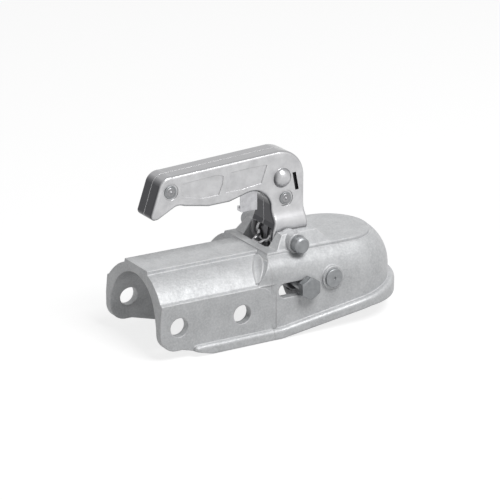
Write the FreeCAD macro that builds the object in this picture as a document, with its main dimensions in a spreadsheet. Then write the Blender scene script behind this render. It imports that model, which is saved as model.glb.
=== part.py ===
import FreeCAD, Part
import math
import os
import Sketcher

# Coupling head for a 50 mm ball on a round drawbar.
# Frame: origin at the ball's centre, +X forward along the drawbar, +Y to the left, +Z up.
# The two cross-bolt axes lie in the plane z = 0, behind the ball.

V = FreeCAD.Vector

# Driving sizes in millimetres: name, value, what it is.
SIZES = (
    ("ball_diameter", "50", "coupling ball"),
    ("socket_gap", "0.4", "radial gap between ball and seat"),
    ("entry_angle", "20", "lean of the way in for the ball, degrees"),
    ("tube_diameter", "60", "drawbar tube"),
    ("tube_gap", "0.3", "radial gap round the tube"),
    ("channel_drop", "3.6", "tube axis below the bolt axes"),
    ("bolt_hole", "12.5", "cross-bolt hole"),
    ("bolt_pitch", "45", "between the two cross bolts"),
    ("ball_to_bolt", "84.6", "ball axis to the front cross bolt"),
    ("ear_length", "13.3", "rear cross bolt to the tail's end"),
    ("ear_corner", "11", "lower corner of the tail's ear"),
    ("ear_depth", "15", "ear below the bolt axes"),
    ("end_lean", "3", "lean of the tail's end face"),
    ("tail_height", "32.1", "flat on the tail's back"),
    ("tail_flat", "29", "width of that flat"),
    ("tail_step", "2.3", "step at the flat's edges"),
    ("tail_curve", "42.8", "curve of the tail's shoulders"),
    ("tail_width", "71.6", "over the tail's side pads"),
    ("pad_top", "15.4", "top edge of the side pads"),
    ("pad_ledge", "2.3", "ledge above the side pads"),
    ("pad_front", "62.6", "front edge of the side pads behind the ball axis"),
    ("pad_corner", "10", "front upper corner of the side pads"),
    ("pad_raise", "0.6", "side pads stand out from the flanks"),
    ("rim_reach", "3.2", "rim stands out from the tail"),
    ("rim_start", "120", "rear end of the rim behind the ball axis"),
    ("rim_radius", "42.1", "rim round the ball dome"),
    ("rim_rear_top", "-14", "top of the rim along the tail"),
    ("rim_front_top", "2.5", "top of the rim at the nose"),
    ("rim_bend", "56.9", "where the rim starts to rise"),
    ("rim_round", "2.6", "rounding of the rim"),
    ("keel_depth", "21", "flat underside below the bolt axes"),
    ("keel_start", "105", "rear end of the flat underside behind the ball axis"),
    ("nose_depth", "10.5", "underside at the ball"),
    ("level_start", "9", "where the underside levels out before the ball axis"),
    ("dome_radius", "37.6", "outside of the ball dome"),
    ("dome_ahead", "2.8", "middle of the dome before the ball axis"),
    ("dome_shoulder", "9", "height where the dome starts to curve in"),
    ("dome_curve", "29", "curve of the dome"),
    ("flank_width", "69.6", "over the flanks behind the pocket"),
    ("flank_shoulder", "20", "height where the rear flanks curve in"),
    ("flank_curve", "10", "curve of the rear flanks"),
    ("ridge_width", "55", "between the two ridges"),
    ("ridge_height", "31.4", "ridges at the rear"),
    ("ridge_front", "30.6", "ridges at the dome"),
    ("step_foot", "72.9", "foot of the slanted rear step behind the ball axis"),
    ("step_foot_height", "15.4", "height of that foot"),
    ("step_knee", "62.4", "knee of the rear step"),
    ("step_knee_height", "30", "height of the knee"),
    ("step_head", "60.9", "head of the rear step"),
    ("plateau_radius", "26.8", "raised top over the ball"),
    ("plateau_ahead", "1", "middle of its round front before the ball axis"),
    ("plateau_height", "33.2", "top over the ball"),
    ("plateau_round", "0.9", "rounded edge of the raised top"),
    ("bay_rear", "58", "rear end of the mechanism bay"),
    ("bay_front", "8.4", "front end of the mechanism bay"),
    ("bay_width", "60", "inside the mechanism bay"),
    ("bay_height", "26.5", "roof of the mechanism bay"),
    ("bay_corner", "8", "upper corners of the bay"),
    ("pocket_rear", "55", "rear edge of the pocket"),
    ("pocket_width", "31", "pocket between the cheeks"),
    ("cheek_height", "41.7", "top of the cheeks"),
    ("cheek_width", "43", "over the cheeks at the top"),
    ("cheek_foot", "53.2", "rear foot of the cheeks"),
    ("cheek_rear", "47.2", "rear top corner of the cheeks"),
    ("cheek_front", "21.4", "front top corner of the cheeks"),
    ("cheek_run_out", "13.6", "where the cheeks die out behind the ball axis"),
    ("pivot_back", "39.5", "handle pivot behind the ball axis"),
    ("pivot_height", "36.5", "handle pivot above the bolt axes"),
    ("pivot_pin", "10.5", "handle pivot pin"),
    ("pivot_boss", "13", "boss round the pin"),
    ("pivot_boss_span", "56", "over the two bosses"),
    ("pivot_pin_length", "69", "length of the pivot pin"),
    ("pin_chamfer", "1", "chamfer of the pivot pin"),
    ("fit_gap", "0.02", "radial gap of a fixed pin"),
    ("turn_gap", "0.05", "radial running gap"),
    ("side_gap", "0.3", "gap beside a moving piece"),
    ("slot_height", "9.8", "flank slot"),
    ("slot_axis", "9.9", "height of the flank slot"),
    ("slot_length", "25", "flank slot end to end"),
    ("slot_rear", "57.9", "rear end of the flank slot behind the ball axis"),
    ("clamp_back", "37.4", "clamp bolt behind the ball axis at rest"),
    ("clamp_bolt_size", "8", "clamp bolt shank"),
    ("clamp_head", "13", "across the flats of the bolt head"),
    ("clamp_head_height", "5.3", "height of the bolt head"),
    ("clamp_span", "73.6", "between head and washer"),
    ("clamp_nut_height", "6.5", "height of the nut"),
    ("washer_height", "1.6", "thickness of the washer"),
    ("washer_size", "16", "outside of the washer"),
    ("roller_size", "13", "outside of the rollers"),
    ("roller_length", "19", "length of a roller"),
    ("lever_thickness", "4.6", "cam lever plate"),
    ("lever_reach", "31.5", "pivot to the tips of the fork"),
    ("lever_prong", "3", "width of a prong of the fork"),
    ("fork_gap", "0.9", "room beside the bolt in the fork"),
    ("lever_eye", "8.6", "radius of the lever round the pivot"),
    ("jaw_back", "18.7", "jaw pins behind the ball axis"),
    ("jaw_height", "13", "jaw pins above the bolt axes"),
    ("jaw_pin_size", "8", "jaw pin shank"),
    ("jaw_pin_head", "12.3", "jaw pin head"),
    ("jaw_head_height", "1.6", "height of the jaw pin head"),
    ("jaw_boss_rise", "0.4", "bosses under those heads stand out from the dome"),
    ("jaw_boss_border", "1.6", "bosses reach past the heads"),
    ("jaw_pin_reach", "21", "inner end of the jaw pins from the middle"),
    ("jaw_wall", "3.8", "thickness of the jaw"),
    ("jaw_gap", "0.25", "radial gap between ball and jaw"),
    ("jaw_top", "6", "upper edge of the jaw"),
    ("jaw_lip", "17", "lower edge of the jaw below the ball's middle"),
    ("jaw_wrap", "124", "how far the jaw reaches round the ball, degrees"),
    ("jaw_ear", "8", "radius of the jaw's ears"),
    ("jaw_ear_thickness", "5.5", "thickness of the jaw's ears"),
    ("jaw_ear_span", "54", "over the jaw's ears"),
    ("jaw_ear_drop", "7", "lower end of the jaw's ears"),
    ("heel_width", "34", "width of the jaw's heel"),
    ("heel_top", "12", "top of the jaw's heel"),
    ("heel_drop", "3", "bottom of the jaw's heel"),
    ("heel_relief", "3.6", "half width of the notch in the heel"),
    ("grip_reach", "94.5", "pivot to the handle's nose"),
    ("grip_width", "19.5", "handle over the grip"),
    ("skirt_width", "28", "handle over its foot"),
    ("skirt_start", "20", "flare starts this far above the pivot"),
    ("skirt_end", "7", "flare ends this far above the pivot"),
    ("shell_wall", "2.2", "sheet of the handle"),
    ("shell_round", "2", "rounded edges of the handle"),
    ("handle_rise", "56.3", "handle's top above the pivot at the front"),
    ("nose_rise", "52", "handle's top above the pivot at the nose"),
    ("grip_bottom", "28.2", "underside of the grip above the pivot"),
    ("arch_rise", "31.9", "underside at the arch above the pivot"),
    ("arch_curve", "14", "curve of the arch behind the neck"),
    ("guard_drop", "25.2", "lowest point of the nose above the pivot"),
    ("neck_back", "8.3", "rear of the neck behind the pivot"),
    ("neck_front", "16.2", "front of the handle before the pivot"),
    ("crown_curve", "18.5", "curve of the handle's front corner"),
    ("foot_radius", "10.45", "foot of the shells round the pivot"),
    ("toe_reach", "16.4", "front lower corner of the shells before the pivot"),
    ("rivet_shank", "6", "shank of the shell rivets"),
    ("rivet_head", "8.4", "head of the shell rivets"),
    ("rivet_head_height", "0.9", "height of the rivet heads"),
    ("rivet_dish", "10.8", "dish pressed round each rivet"),
    ("rivet_dish_depth", "0.5", "depth of that dish"),
    ("nose_rivet_back", "80.9", "nose rivet behind the pivot"),
    ("nose_rivet_rise", "42.2", "nose rivet above the pivot"),
    ("neck_rivet_front", "2.2", "neck rivet before the pivot"),
    ("neck_rivet_rise", "24.7", "neck rivet above the pivot"),
    ("catch_rise", "38.6", "catch pin above the pivot"),
    ("catch_pin_size", "6", "catch pin"),
    ("bulge_size", "13", "domes over the catch pin's ends"),
    ("bulge_height", "4", "height of those domes"),
    ("window_front", "9.6", "window before the pivot"),
    ("window_rise", "35", "window above the pivot"),
    ("window_width", "2.6", "window"),
    ("window_length", "11.8", "window"),
    ("window_lean", "0.19", "lean of the window, sideways per length"),
    ("panel_depth", "0.4", "depth of the pressed panels"),
    ("seam_gap", "0.4", "gap between the two shells at their seam"),
    ("catch_sheet", "2", "sheet of the catch"),
    ("catch_width", "10.4", "over the catch's sides"),
    ("trigger_rear", "27.6", "rear edge of the trigger behind the pivot"),
    ("trigger_front", "16", "front edge of the trigger behind the pivot"),
    ("trigger_drop", "18.9", "underside of the trigger above the pivot"),
    ("lip_reach", "5.4", "width of the trigger's turned-in edge"),
    ("lip_rise", "3", "height of the lip on that edge"),
    ("leg_gap", "5.7", "catch's legs short of the pocket's front edge"),
    ("toe_length", "1.8", "catch's toe before its legs"),
    ("bush_size", "11.8", "outside of the pivot bushes"),
    ("wire_size", "2.2", "wire of the return spring"),
    ("leg_spread", "8.4", "between the spring's two long legs"),
    ("coil_turns", "1.5", "turns in each coil"),
    ("catch_wire", "1.2", "wire of the catch spring"),
)


class Size:
    """A length that carries its number and the formula that ties it to the sheet."""

    def __init__(self, number, formula):
        self.number = number
        self.formula = formula

    def __add__(self, other):
        return joined(self, "+", as_size(other), self.number + as_size(other).number)

    def __radd__(self, other):
        return as_size(other) + self

    def __sub__(self, other):
        return joined(self, "-", as_size(other), self.number - as_size(other).number)

    def __rsub__(self, other):
        return as_size(other) - self

    def __mul__(self, other):
        return joined(self, "*", as_size(other), self.number * as_size(other).number)

    def __rmul__(self, other):
        return as_size(other) * self

    def __truediv__(self, other):
        return joined(self, "/", as_size(other), self.number / as_size(other).number)

    def __neg__(self):
        return 0 - self


def joined(left, sign, right, number):
    return Size(number, "(%s %s %s)" % (left.formula, sign, right.formula))


def as_size(value):
    if isinstance(value, Size):
        return value
    return Size(float(value), "(%.6f)" % value)


def root(size):
    return Size(math.sqrt(size.number), "sqrt(%s)" % size.formula)


class Sheet:
    """The driving sizes, each a cell with an alias and a Size of the same name."""

    def __init__(self, doc, rows):
        self.cells = doc.addObject("Spreadsheet::Sheet", "Sizes")
        for line, (name, value, meaning) in enumerate(rows, start=1):
            self.cells.set("A%d" % line, meaning)
            self.cells.set("B%d" % line, value)
            self.cells.setAlias("B%d" % line, name)
            setattr(self, name, Size(float(value), "Sizes.%s" % name))


doc = FreeCAD.newDocument("coupling_head")
S = Sheet(doc, SIZES)
doc.recompute()

# Places that several pieces share.
ball_radius = S.ball_diameter / 2
seat_radius = ball_radius + S.socket_gap
front_bolt = -S.ball_to_bolt
rear_bolt = front_bolt - S.bolt_pitch
tail_end = rear_bolt - S.ear_length
pivot_x = -S.pivot_back
pivot_z = S.pivot_height
clamp_x = -S.clamp_back
pocket_front = pivot_x + S.toe_reach + 2.1
catch_z = pivot_z + S.catch_rise
wire_reach = S.bush_size / 2 + 0.3 + S.wire_size / 2
skirt_inside = S.skirt_width / 2 - S.shell_wall
grip_inside = S.grip_width / 2 - S.shell_wall
flank_at_clamp = S.clamp_span / 2
jaw_seat = S.dome_radius + S.jaw_boss_rise


def bind(thing, prop, size):
    """Set a property by formula, so that it follows the sheet."""
    thing.setExpression(prop, as_size(size).formula)


def new_body(name):
    body = doc.addObject("PartDesign::Body", name)
    body.Label = name
    return body


def sketch(body, name, role, lift=None):
    """An empty sketch on one of the body's own planes, lifted along its normal."""
    made = body.newObject("Sketcher::SketchObject", name)
    plane = [item for item in body.Origin.OriginFeatures if item.Role == role][0]
    made.AttachmentSupport = [(plane, "")]
    made.MapMode = "FlatFace"
    if lift is not None:
        bind(made, "AttachmentOffset.Base.z", lift)
    return made


def pin_point(made, index, end, x, y):
    """Hold one point of the sketch at x, y from its origin."""
    for kind, size in (("DistanceX", as_size(x)), ("DistanceY", as_size(y))):
        row = made.addConstraint(Sketcher.Constraint(kind, -1, 1, index, end, size.number))
        made.setExpression("Constraints[%d]" % row, size.formula)


def arc_between(start, end, radius):
    """The shorter arc between two points; a positive radius turns left."""
    chord = end - start
    half = chord.Length / 2
    depth = math.sqrt(max(radius * radius - half * half, 0.0))
    side = V(-chord.y, chord.x, 0).normalize() * math.copysign(depth, radius)
    centre = (start + end) / 2 + side
    circle = Part.Circle(centre, V(0, 0, 1), abs(radius))
    first, last = (start, end) if radius > 0 else (end, start)
    angles = [math.atan2(p.y - centre.y, p.x - centre.x) for p in (first, last)]
    return Part.ArcOfCircle(circle, angles[0], angles[1])


def outline(made, points):
    """A closed outline. A point is (x, y), or (x, y, radius) where an arc leaves it."""
    spots = [V(as_size(p[0]).number, as_size(p[1]).number, 0) for p in points]
    ends = []
    for number, point in enumerate(points):
        start = spots[number]
        end = spots[(number + 1) % len(points)]
        if len(point) == 3:
            radius = as_size(point[2])
            index = made.addGeometry(arc_between(start, end, radius.number))
            ends.append((index, 1, 2) if radius.number > 0 else (index, 2, 1))
        else:
            index = made.addGeometry(Part.LineSegment(start, end))
            ends.append((index, 1, 2))
    for number, (index, first, last) in enumerate(ends):
        after = ends[(number + 1) % len(ends)]
        made.addConstraint(Sketcher.Constraint("Coincident", index, last, after[0], after[1]))
    for number, point in enumerate(points):
        pin_point(made, ends[number][0], ends[number][1], point[0], point[1])
        if len(point) == 3:
            radius = as_size(point[2])
            size = radius if radius.number > 0 else -radius
            row = made.addConstraint(Sketcher.Constraint("Radius", ends[number][0], size.number))
            made.setExpression("Constraints[%d]" % row, size.formula)


def circle(made, x, y, radius):
    spot = V(as_size(x).number, as_size(y).number, 0)
    index = made.addGeometry(Part.Circle(spot, V(0, 0, 1), as_size(radius).number))
    pin_point(made, index, 3, x, y)
    row = made.addConstraint(Sketcher.Constraint("Radius", index, as_size(radius).number))
    made.setExpression("Constraints[%d]" % row, as_size(radius).formula)


def box(made, low_x, low_y, high_x, high_y):
    outline(made, [(low_x, low_y), (high_x, low_y), (high_x, high_y), (low_x, high_y)])


def extrude(body, kind, name, profile, length, both=False, reverse=False):
    """A pad or pocket along the sketch's normal, or half each way."""
    made = body.newObject("PartDesign::" + kind, name)
    made.Profile = profile
    bind(made, "Length", length)
    if both:
        made.SideType = "Symmetric"
    made.Reversed = reverse
    profile.Visibility = False
    doc.recompute()
    return made


def pad(body, name, profile, length, both=False, reverse=False):
    return extrude(body, "Pad", name, profile, length, both, reverse)


def pocket(body, name, profile, length, both=False, reverse=False):
    """A pocket, checked to take something away."""
    before = body.Shape.Volume
    made = extrude(body, "Pocket", name, profile, length, both, reverse)
    if body.Shape.Volume >= before - 0.001:
        raise RuntimeError("%s cuts nothing" % name)
    return made


def turn(body, kind, name, profile, axis, angle=360):
    made = body.newObject("PartDesign::" + kind, name)
    made.Profile = profile
    made.ReferenceAxis = (profile, [axis])
    bind(made, "Angle", angle)
    doc.recompute()
    return made


def edges_of(shape, wanted, upright=True):
    """Names of the edges whose points all pass the test."""
    names = []
    for number, edge in enumerate(shape.Edges, start=1):
        points = edge.discretize(5)
        lean = max(edge.BoundBox.XLength, edge.BoundBox.YLength)
        if all(wanted(point) for point in points) and (upright or lean > 0.5):
            names.append("Edge%d" % number)
    return names


def round_off(body, name, kind, wanted, size, upright=True):
    """Fillet or chamfer the chosen edges of the body so far, upright ones too or not."""
    base = body.Tip
    made = body.newObject("PartDesign::" + kind, name)
    made.Base = (base, edges_of(base.Shape, wanted, upright))
    bind(made, "Radius" if kind == "Fillet" else "Size", size)
    doc.recompute()
    return made


def mirrored(points):
    """The outline's right half, then its mirror image, for a form symmetric about x = 0.

    An arc leaves the point where it starts, so on the way back it belongs to the next one."""
    left = []
    for number in range(len(points) - 1, -1, -1):
        x, y = points[number][0], points[number][1]
        arc = points[number - 1][2:] if number > 0 else ()
        left.append((-as_size(x), y) + tuple(arc))
    return list(points) + left


def lower_line():
    """Underside of the casting from the tail's end to the nose."""
    return [
        (tail_end, -S.ear_depth + S.ear_corner, S.ear_corner),
        (tail_end + S.ear_corner, -S.ear_depth),
        (rear_bolt + 2, -S.ear_depth),
        (-S.keel_start - 3, -S.keel_depth + 0.6),
        (-S.keel_start, -S.keel_depth),
        (-S.rim_bend, -S.keel_depth),
        (S.level_start, -S.nose_depth),
        (S.dome_ahead + S.rim_radius + 5, -S.nose_depth),
    ]


def rim(body):
    """The rim round the lower edge, its sides touching the round nose, its top rising to it."""
    rear = S.tail_width / 2 + S.rim_reach
    nose_x = S.dome_ahead + S.rim_radius
    plan = sketch(body, "rim_plan", "XY_Plane", -S.keel_depth - 3)
    back = S.dome_ahead + S.pad_front
    span = back * back + rear * rear
    line = root(span - S.rim_radius * S.rim_radius)
    touch_x = S.dome_ahead + (rear * line - back * S.rim_radius) * S.rim_radius / span
    touch_y = (rear * S.rim_radius + back * line) * S.rim_radius / span
    outline(plan, [
        (-S.rim_start + 3, -rear),
        (-S.pad_front, -rear),
        (touch_x, -touch_y, S.rim_radius),
        (nose_x, 0, S.rim_radius),
        (touch_x, touch_y),
        (-S.pad_front, rear),
        (-S.rim_start + 3, rear, 3),
        (-S.rim_start, rear - 3),
        (-S.rim_start, -rear + 3, 3),
    ])
    pad(body, "rim_block", plan, S.keel_depth + 12)
    top = sketch(body, "rim_top", "XZ_Plane")
    slope = (S.rim_front_top - S.rim_rear_top) / (nose_x + S.rim_bend)
    outline(top, [
        (-S.rim_start - 20, S.rim_rear_top),
        (-S.rim_bend, S.rim_rear_top),
        (nose_x + 20, S.rim_front_top + slope * 20),
        (nose_x + 20, S.keel_depth + 20),
        (-S.rim_start - 20, S.keel_depth + 20),
    ])
    pocket(body, "rim_top_cut", top, S.rim_radius * 4, both=True)
    below = sketch(body, "rim_below", "XZ_Plane")
    outline(below, [
        (-S.rim_start - 20, -S.keel_depth - 20),
        (nose_x + 20, -S.keel_depth - 20),
        (nose_x + 20, -S.nose_depth),
        (S.level_start, -S.nose_depth),
        (-S.rim_bend, -S.keel_depth),
        (-S.rim_start - 20, -S.keel_depth),
    ])
    pocket(body, "rim_below_cut", below, S.rim_radius * 4, both=True)
    side = rear.number - 0.2
    nose = S.rim_radius.number - 0.05
    rear_x = -S.rim_start.number + 0.1

    def outer(point):
        if point.x > S.dome_ahead.number:
            return math.hypot(point.x - S.dome_ahead.number, point.y) > nose
        return abs(point.y) > side or point.x < rear_x

    def upper(point):
        rise = max(point.x + S.rim_bend.number, 0) * slope.number
        return outer(point) and abs(point.z - S.rim_rear_top.number - rise) < 0.1

    def lower(point):
        run = (point.x + S.rim_bend.number) / (S.level_start + S.rim_bend).number
        rise = min(max(run, 0), 1) * (S.keel_depth - S.nose_depth).number
        return outer(point) and abs(point.z + S.keel_depth.number - rise) < 0.1

    round_off(body, "rim_upper_rounding", "Fillet", upper, S.rim_round, upright=False)
    round_off(body, "rim_lower_rounding", "Fillet", lower, S.rim_round * 0.6, upright=False)


def flanks(body):
    """Housing between the rear step and the ball, then the dome round the ball."""
    floor = -17
    rear = sketch(body, "flank_rear", "YZ_Plane", -S.step_foot - 1)
    outline(rear, mirrored([
        (S.flank_width / 2 + 0.6, floor),
        (S.flank_width / 2, S.flank_shoulder, S.flank_curve),
        (S.ridge_width / 2, S.ridge_height),
    ]))
    front = sketch(body, "flank_front", "YZ_Plane", S.dome_ahead)
    outline(front, mirrored([
        (S.dome_radius, floor),
        (S.dome_radius, S.dome_shoulder, S.dome_curve),
        (S.ridge_width / 2, S.ridge_front),
    ]))
    loft = body.newObject("PartDesign::AdditiveLoft", "flank_loft")
    loft.Profile = rear
    loft.Sections = [front]
    loft.Ruled = True
    doc.recompute()
    half = sketch(body, "dome_half", "YZ_Plane", S.dome_ahead)
    outline(half, [
        (0, floor),
        (0, S.ridge_front),
        (-S.ridge_width / 2, S.ridge_front, S.dome_curve),
        (-S.dome_radius, S.dome_shoulder),
        (-S.dome_radius, floor),
    ])
    turn(body, "Revolution", "dome", half, "V_Axis", 180)
    plan = sketch(body, "plateau_plan", "XY_Plane", S.ridge_front - 3)
    outline(plan, [
        (-S.step_head - 3, -S.plateau_radius),
        (S.plateau_ahead, -S.plateau_radius, S.plateau_radius),
        (S.plateau_ahead + S.plateau_radius, 0, S.plateau_radius),
        (S.plateau_ahead, S.plateau_radius),
        (-S.step_head - 3, S.plateau_radius),
    ])
    pad(body, "plateau", plan, S.plateau_height - S.ridge_front + 3)
    top = S.plateau_height.number - 0.01
    round_off(body, "plateau_rounding", "Fillet", lambda point: point.z > top
              and (point.x > 0 or abs(point.y) > S.plateau_radius.number - 0.1),
              S.plateau_round)
    step = sketch(body, "rear_step", "XZ_Plane")
    outline(step, [
        (-S.step_foot - 10, -6),
        (-S.step_foot + 8, -6),
        (-S.step_foot, S.step_foot_height),
        (-S.step_knee, S.step_knee_height),
        (-S.step_head, S.ridge_height + 1),
        (-S.step_head, S.ridge_height + 9),
        (-S.step_foot - 10, S.ridge_height + 9),
    ])
    pocket(body, "rear_step_cut", step, S.rim_radius * 4, both=True)


def cheeks(body):
    """Raised walls beside the handle, and the bosses of its pin and of the jaw pins."""
    rear = -S.cheek_foot - 2
    section = sketch(body, "cheek_section", "YZ_Plane", rear)
    inner = S.pocket_width / 2 - 2
    for side in (1, -1):
        outline(section, [
            (side * inner, S.ridge_front - 6),
            (side * (S.ridge_width / 2 - 1), S.ridge_front - 6),
            (side * (S.ridge_width / 2 - 1), S.ridge_front + 1),
            (side * S.cheek_width / 2, S.cheek_height),
            (side * inner, S.cheek_height),
        ])
    pad(body, "cheek_walls", section, S.cheek_foot + 2 - S.cheek_run_out + 4)
    for name, points in (
        ("cheek_rear", [
            (rear - 2, S.plateau_height),
            (-S.cheek_foot, S.plateau_height),
            (-S.cheek_rear, S.cheek_height),
            (-S.cheek_rear, S.cheek_height + 5),
            (rear - 2, S.cheek_height + 5),
        ]),
        ("cheek_ramp", [
            (-S.cheek_run_out, S.plateau_height),
            (S.cheek_front, S.plateau_height),
            (S.cheek_front, S.cheek_height + 5),
            (-S.cheek_front, S.cheek_height + 5),
            (-S.cheek_front, S.cheek_height),
        ]),
    ):
        made = sketch(body, name, "XZ_Plane")
        outline(made, points)
        pocket(body, name + "_cut", made, S.ridge_width - 2, both=True)
    boss = sketch(body, "boss_circle", "XZ_Plane")
    circle(boss, pivot_x, pivot_z, S.pivot_boss / 2)
    pad(body, "pivot_boss", boss, S.pivot_boss_span, both=True)
    boss = sketch(body, "jaw_boss_circle", "XZ_Plane")
    circle(boss, -S.jaw_back, S.jaw_height, S.jaw_pin_head / 2 + S.jaw_boss_border)
    pad(body, "jaw_boss", boss, jaw_seat * 2, both=True)


def tail(body):
    """Inverted-U tail for the drawbar, with its flat back and side pads."""
    half = S.tail_width / 2
    section = sketch(body, "tail_section", "YZ_Plane", tail_end)
    outline(section, mirrored([
        (half, -S.keel_depth),
        (half, S.pad_top),
        (half - S.pad_ledge, S.pad_top + 1.1, S.tail_curve),
        (S.tail_flat / 2 + 0.5, S.tail_height - S.tail_step),
        (S.tail_flat / 2, S.tail_height),
    ]))
    pad(body, "tail_block", section, -S.pad_front - tail_end + 2)
    for side in (1, -1):
        reach = sketch(body, "pad_trim_plane_%s" % ("left" if side > 0 else "right"), "XZ_Plane",
                       -side * (half - S.pad_raise))
        outline(reach, [
            (-S.pad_front, S.rim_rear_top - 2),
            (-S.pad_front + 3, S.rim_rear_top - 2),
            (-S.pad_front + 3, S.pad_top),
            (-S.pad_front - S.pad_corner, S.pad_top, -S.pad_corner),
            (-S.pad_front, S.pad_top - S.pad_corner),
        ])
        pocket(body, "pad_trim_%s" % ("left" if side > 0 else "right"), reach, S.pad_raise,
               reverse=side < 0)
    end = sketch(body, "tail_end_lean", "XZ_Plane")
    outline(end, [
        (tail_end - 1, S.tail_height + 2),
        (tail_end - 1, 4),
        (tail_end, 4),
        (tail_end + S.end_lean, S.tail_height + 2),
    ])
    pocket(body, "tail_end_cut", end, S.tail_width * 2, both=True)
    below = sketch(body, "underside", "XZ_Plane")
    deep = -S.keel_depth - 10
    outline(below, [(tail_end - 2, deep), (S.dome_ahead + S.rim_radius + 5, deep)]
            + back_way(lower_line()) + [(tail_end - 2, -S.ear_depth + S.ear_corner)])
    pocket(body, "underside_cut", below, S.rim_radius * 4, both=True)


def back_way(points):
    """The same line walked the other way, with its arcs turned round."""
    back = []
    for number in range(len(points) - 1, -1, -1):
        x, y = points[number][0], points[number][1]
        arc = points[number - 1][2:] if number > 0 else ()
        back.append((x, y) + tuple(-as_size(radius) for radius in arc))
    return back


def hollows(body):
    """Tube channel, mechanism bay, ball seat, pocket, slots and holes."""
    deep = -S.keel_depth - 10
    tube = S.tube_diameter / 2 + S.tube_gap
    section = sketch(body, "channel_section", "YZ_Plane", tail_end - 1)
    outline(section, [
        (-tube, deep),
        (tube, deep),
        (tube, -S.channel_drop, tube),
        (0, tube - S.channel_drop, tube),
        (-tube, -S.channel_drop),
    ])
    pocket(body, "tube_channel", section, -S.bay_rear - tail_end + 1, reverse=True)
    bay = sketch(body, "bay_section", "YZ_Plane", -S.bay_rear)
    half = S.bay_width / 2
    outline(bay, [
        (-half, deep),
        (half, deep),
        (half, S.bay_height - S.bay_corner, S.bay_corner),
        (half - S.bay_corner, S.bay_height),
        (S.bay_corner - half, S.bay_height, S.bay_corner),
        (-half, S.bay_height - S.bay_corner),
    ])
    pocket(body, "mechanism_bay", bay, S.bay_rear - S.bay_front, reverse=True)
    seat = sketch(body, "seat_half", "XZ_Plane")
    outline(seat, [(0, -seat_radius, seat_radius), (seat_radius, 0, seat_radius), (0, seat_radius)])
    turn(body, "Groove", "ball_seat", seat, "V_Axis")
    way = body.newObject("PartDesign::SubtractiveCylinder", "ball_entry")
    bind(way, "Radius", seat_radius)
    bind(way, "Height", S.ball_diameter * 1.4)
    way.setExpression("Placement.Rotation.Angle", "180 - Sizes.entry_angle")
    way.Placement.Rotation.Axis = V(0, -1, 0)
    doc.recompute()
    plan = sketch(body, "pocket_plan", "XY_Plane", S.cheek_height + 2)
    corner = 3
    wide = S.pocket_width / 2
    outline(plan, [
        (-S.pocket_rear + corner, -wide),
        (pocket_front - corner, -wide, corner),
        (pocket_front, corner - wide),
        (pocket_front, wide - corner, corner),
        (pocket_front - corner, wide),
        (-S.pocket_rear + corner, wide, corner),
        (-S.pocket_rear, wide - corner),
        (-S.pocket_rear, corner - wide, corner),
    ])
    pocket(body, "handle_pocket", plan, S.cheek_height + 2 - S.bay_height + S.bay_corner)
    slot = sketch(body, "slot_shape", "XZ_Plane")
    radius = S.slot_height / 2
    rear = -S.slot_rear
    front = rear + S.slot_length
    outline(slot, [
        (rear + radius, S.slot_axis - radius),
        (front - radius, S.slot_axis - radius, radius),
        (front, S.slot_axis, radius),
        (front - radius, S.slot_axis + radius),
        (rear + radius, S.slot_axis + radius, radius),
        (rear, S.slot_axis, radius),
    ])
    pocket(body, "flank_slots", slot, S.rim_radius * 4, both=True)
    holes = sketch(body, "cross_holes", "XZ_Plane")
    circle(holes, front_bolt, 0, S.bolt_hole / 2)
    circle(holes, rear_bolt, 0, S.bolt_hole / 2)
    circle(holes, pivot_x, pivot_z, S.pivot_pin / 2 + S.fit_gap)
    circle(holes, -S.jaw_back, S.jaw_height, S.jaw_pin_size / 2 + S.fit_gap)
    pocket(body, "cross_hole_cut", holes, S.rim_radius * 4, both=True)


def housing():
    """The whole casting, then its drawbar tail and its head, parted where the side pads end."""
    body = new_body("casting")
    rim(body)
    flanks(body)
    cheeks(body)
    tail(body)
    hollows(body)
    behind = doc.addObject("Part::Box", "tail_space")
    bind(behind, "Length", -S.pad_front - tail_end + 20)
    bind(behind, "Width", S.rim_radius * 4)
    bind(behind, "Height", S.keel_depth + S.ridge_height + 80)
    bind(behind, "Placement.Base.x", tail_end - 20)
    bind(behind, "Placement.Base.y", S.rim_radius * -2)
    bind(behind, "Placement.Base.z", -S.keel_depth - 40)
    for name, kind in (("drawbar_tail", "Part::Common"), ("coupling_housing", "Part::Cut")):
        half = doc.addObject(kind, name)
        half.Base = body
        half.Tool = behind
        half.Label = name
    doc.recompute()
    return body


def round_bar(name, x, z, radius, low_y, high_y, bore=None, chamfer=None):
    """A round bar or tube along Y between two distances from the middle."""
    body = new_body(name)
    made = sketch(body, name + "_circle", "XZ_Plane", -as_size(low_y))
    circle(made, x, z, radius)
    if bore is not None:
        circle(made, x, z, bore)
    pad(body, name + "_bar", made, as_size(high_y) - low_y, reverse=True)
    if chamfer:
        round_off(body, name + "_chamfer", "Chamfer", lambda point: True, chamfer)
    return body


def disc(body, name, x, z, radius, from_y, to_y):
    """Add a round disc along Y to a body."""
    made = sketch(body, name + "_circle", "XZ_Plane", -as_size(from_y))
    circle(made, x, z, radius)
    length = as_size(to_y) - from_y
    forward = length.number > 0
    return pad(body, name, made, length if forward else -length, reverse=forward)


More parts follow.
